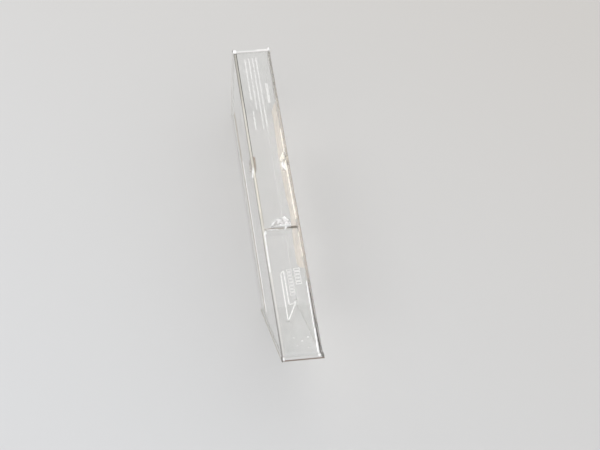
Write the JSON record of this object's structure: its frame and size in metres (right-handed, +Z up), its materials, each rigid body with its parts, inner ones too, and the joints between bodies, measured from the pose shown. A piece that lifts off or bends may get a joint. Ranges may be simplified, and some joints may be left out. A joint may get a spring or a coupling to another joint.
{
  "type": "saw blade guard hood",
  "caption": "Long narrow clear plastic hood with a sloping nose, open underneath, that covers a table-saw blade and hangs on a pin through two bushes.",
  "frame": {"origin": "bottom centre of the bounding box, on the plane of the lower edges", "axes": "+X points to the nose, +Y across the hood, +Z up; left and right are as seen from the nose end, so the left wall is at -Y"},
  "size_m": [0.36, 0.037, 0.093],
  "materials": {
    "clear_sheet": "polished",
    "white_ink": "matte",
    "clear_moulding": "polished"
  },
  "bodies": {
    "root": {"side_wall_left": "clear_sheet", "side_wall_right": "clear_sheet", "roof_panel_rear": "clear_sheet", "roof_panel_front": "clear_sheet", "rear_wall": "clear_sheet", "nose_panel": "clear_sheet", "cross_rib": "clear_sheet", "joint_pad": "clear_sheet", "pivot_bush_left": "clear_moulding", "pivot_bush_right": "clear_moulding"}
  },
  "joints": []
}
